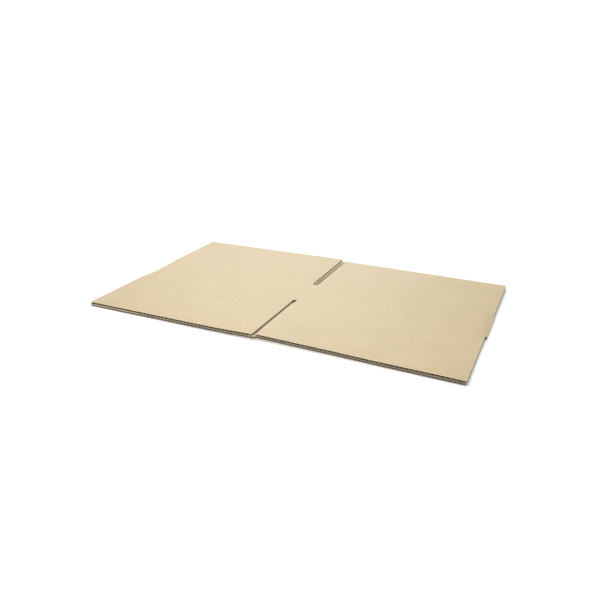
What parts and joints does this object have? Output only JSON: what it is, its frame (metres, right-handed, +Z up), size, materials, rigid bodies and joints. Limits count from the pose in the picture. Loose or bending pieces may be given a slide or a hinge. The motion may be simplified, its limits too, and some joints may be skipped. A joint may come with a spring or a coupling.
{
  "type": "flattened cardboard box",
  "caption": "Slotted carton of single-wall corrugated board folded flat, with its flaps out and slots open between them.",
  "frame": {"origin": "centre of the object's footprint, on the surface that it lies on", "axes": "+X along the longer side of the flat box, from fold to fold; +Y along the flutes, from the near flaps to the far flaps; +Z up, square to the boards"},
  "size_m": [0.7104, 0.428, 0.0101],
  "materials": {
    "kraft_board": "matt natural kraft liner, with the darker fluting paper showing at the cut edges"
  },
  "bodies": {
    "root": {"box_blank": "kraft_board"}
  },
  "joints": []
}
